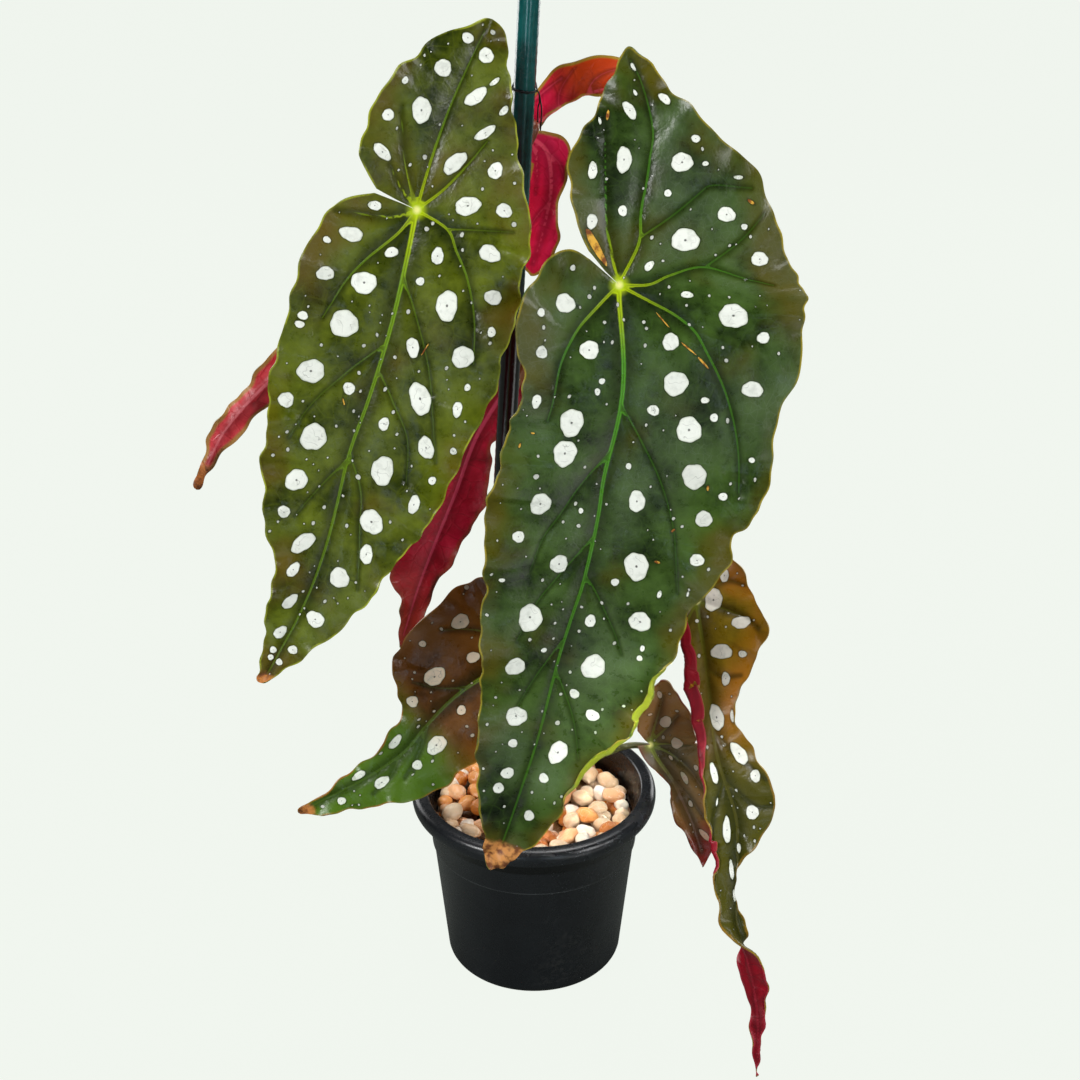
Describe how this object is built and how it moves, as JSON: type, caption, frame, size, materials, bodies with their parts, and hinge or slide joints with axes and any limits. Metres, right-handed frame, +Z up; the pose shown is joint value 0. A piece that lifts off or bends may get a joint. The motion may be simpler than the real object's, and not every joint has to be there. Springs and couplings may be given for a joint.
{
  "type": "potted polka dot begonia",
  "caption": "Potted begonia with large waved, spotted leaves on canes, tied to a plant stake in a black nursery pot topped with pebbles.",
  "frame": {"origin": "centre of the pot's flat underside", "axes": "+Z up, -Y towards the front, where the two large leaves face"},
  "size_m": [0.2618, 0.1684, 0.5042],
  "materials": {
    "pot_plastic": "satin",
    "potting_mix": "matte",
    "pebble_stone": "satin",
    "stake_coating": "gloss",
    "tie_wire": "satin",
    "stem": "satin",
    "leaf_green": "satin",
    "leaf_brown": "satin",
    "leaf_crimson": "satin"
  },
  "bodies": {
    "root": {"pot": "pot_plastic", "potting_mix": "potting_mix", "pebbles": "pebble_stone", "stake": "stake_coating", "tie": "tie_wire", "main_cane": "stem", "lower_cane": "stem", "basal_shoot": "stem", "leaf_a": "leaf_green", "leaf_b": "leaf_green", "leaf_c": "leaf_brown", "leaf_d": "leaf_brown", "leaf_e": "leaf_brown", "leaf_f": "leaf_crimson", "leaf_g": "leaf_crimson", "leaf_h": "leaf_crimson"}
  },
  "joints": []
}
